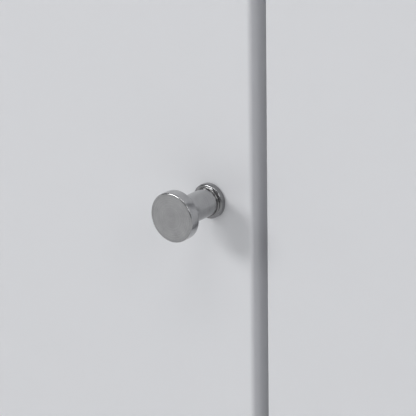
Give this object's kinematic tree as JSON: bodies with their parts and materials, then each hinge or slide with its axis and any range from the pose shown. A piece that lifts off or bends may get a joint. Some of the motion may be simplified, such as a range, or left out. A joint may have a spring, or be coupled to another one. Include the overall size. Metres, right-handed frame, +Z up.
{
  "type": "apothecary cabinet",
  "caption": "Tall lacquered cabinet on steel legs: small drawers in rows above two full-height inset doors, all with turned mushroom knobs and even shadow gaps.",
  "frame": {"origin": "on the floor, under the middle of the whole cabinet, knobs included", "axes": "+Z up, -Y out of the front, +X to the viewer's right when facing the front"},
  "size_m": [0.67, 0.405, 1.24],
  "materials": {
    "white_lacquered_board": "satin lacquer on board",
    "brushed_steel_knobs": "brushed stainless",
    "brushed_steel_legs": "brushed stainless",
    "drawer_trays": "fine powder coat",
    "drawer_rails": "matt moulded",
    "zinc_screws": "zinc plated",
    "zinc_plates": "zinc plated",
    "bare_wood": "bare beech",
    "white_plastic": "moulded nylon",
    "grey_plastic": "moulded nylon"
  },
  "bodies": {
    "carcase": {"left_side_panel": "white_lacquered_board", "right_side_panel": "white_lacquered_board", "top_panel": "white_lacquered_board", "bottom_panel": "white_lacquered_board", "section_shelf": "white_lacquered_board", "centre_partition": "white_lacquered_board", "drawer_dividers": "white_lacquered_board", "back_panel": "white_lacquered_board", "adjustable_shelves": "white_lacquered_board", "shelf_pins": "zinc_plates", "dowels": "bare_wood", "drawer_rails": "drawer_rails", "rail_spacers": "bare_wood", "pivot_bushes": "white_plastic", "magnetic_catches": "white_plastic", "legs": "brushed_steel_legs", "leg_glides": "grey_plastic", "carcase_screws": "zinc_screws"},
    "left_door": {"left_door_panel": "white_lacquered_board", "left_door_knob": "brushed_steel_knobs", "left_door_pivots": "zinc_plates", "left_door_strike_plate": "zinc_plates", "left_door_screws": "zinc_screws"},
    "right_door": {"right_door_panel": "white_lacquered_board", "right_door_knob": "brushed_steel_knobs", "right_door_pivots": "zinc_plates", "right_door_strike_plate": "zinc_plates", "right_door_screws": "zinc_screws"},
    "drawer_1": {"drawer_1_front": "white_lacquered_board", "drawer_1_tray": "drawer_trays", "drawer_1_knob": "brushed_steel_knobs", "drawer_1_screws": "zinc_screws"},
    "drawer_2": {"drawer_2_front": "white_lacquered_board", "drawer_2_tray": "drawer_trays", "drawer_2_knob": "brushed_steel_knobs", "drawer_2_screws": "zinc_screws"},
    "drawer_3": {"drawer_3_front": "white_lacquered_board", "drawer_3_tray": "drawer_trays", "drawer_3_knob": "brushed_steel_knobs", "drawer_3_screws": "zinc_screws"},
    "drawer_4": {"drawer_4_front": "white_lacquered_board", "drawer_4_tray": "drawer_trays", "drawer_4_knob": "brushed_steel_knobs", "drawer_4_screws": "zinc_screws"},
    "drawer_5": {"drawer_5_front": "white_lacquered_board", "drawer_5_tray": "drawer_trays", "drawer_5_knob": "brushed_steel_knobs", "drawer_5_screws": "zinc_screws"},
    "drawer_6": {"drawer_6_front": "white_lacquered_board", "drawer_6_tray": "drawer_trays", "drawer_6_knob": "brushed_steel_knobs", "drawer_6_screws": "zinc_screws"},
    "drawer_7": {"drawer_7_front": "white_lacquered_board", "drawer_7_tray": "drawer_trays", "drawer_7_knob": "brushed_steel_knobs", "drawer_7_screws": "zinc_screws"},
    "drawer_8": {"drawer_8_front": "white_lacquered_board", "drawer_8_tray": "drawer_trays", "drawer_8_knob": "brushed_steel_knobs", "drawer_8_screws": "zinc_screws"}
  },
  "joints": [
    {"name": "left_door_hinge", "type": "hinge", "parent": "carcase", "child": "left_door", "pos_m": [-0.2972, -0.168, 0.5423], "axis": [0, 0, -1], "range_deg": [0, 95]},
    {"name": "right_door_hinge", "type": "hinge", "parent": "carcase", "child": "right_door", "pos_m": [0.0154, -0.168, 0.5423], "axis": [0, 0, -1], "range_deg": [0, 95]},
    {"name": "drawer_1_slide", "type": "slide", "parent": "carcase", "child": "drawer_1", "axis": [0, -1, 0], "range_m": [0, 0.25]},
    {"name": "drawer_2_slide", "type": "slide", "parent": "carcase", "child": "drawer_2", "axis": [0, -1, 0], "range_m": [0, 0.25]},
    {"name": "drawer_3_slide", "type": "slide", "parent": "carcase", "child": "drawer_3", "axis": [0, -1, 0], "range_m": [0, 0.25]},
    {"name": "drawer_4_slide", "type": "slide", "parent": "carcase", "child": "drawer_4", "axis": [0, -1, 0], "range_m": [0, 0.25]},
    {"name": "drawer_5_slide", "type": "slide", "parent": "carcase", "child": "drawer_5", "axis": [0, -1, 0], "range_m": [0, 0.25]},
    {"name": "drawer_6_slide", "type": "slide", "parent": "carcase", "child": "drawer_6", "axis": [0, -1, 0], "range_m": [0, 0.25]},
    {"name": "drawer_7_slide", "type": "slide", "parent": "carcase", "child": "drawer_7", "axis": [0, -1, 0], "range_m": [0, 0.25]},
    {"name": "drawer_8_slide", "type": "slide", "parent": "carcase", "child": "drawer_8", "axis": [0, -1, 0], "range_m": [0, 0.25]}
  ]
}
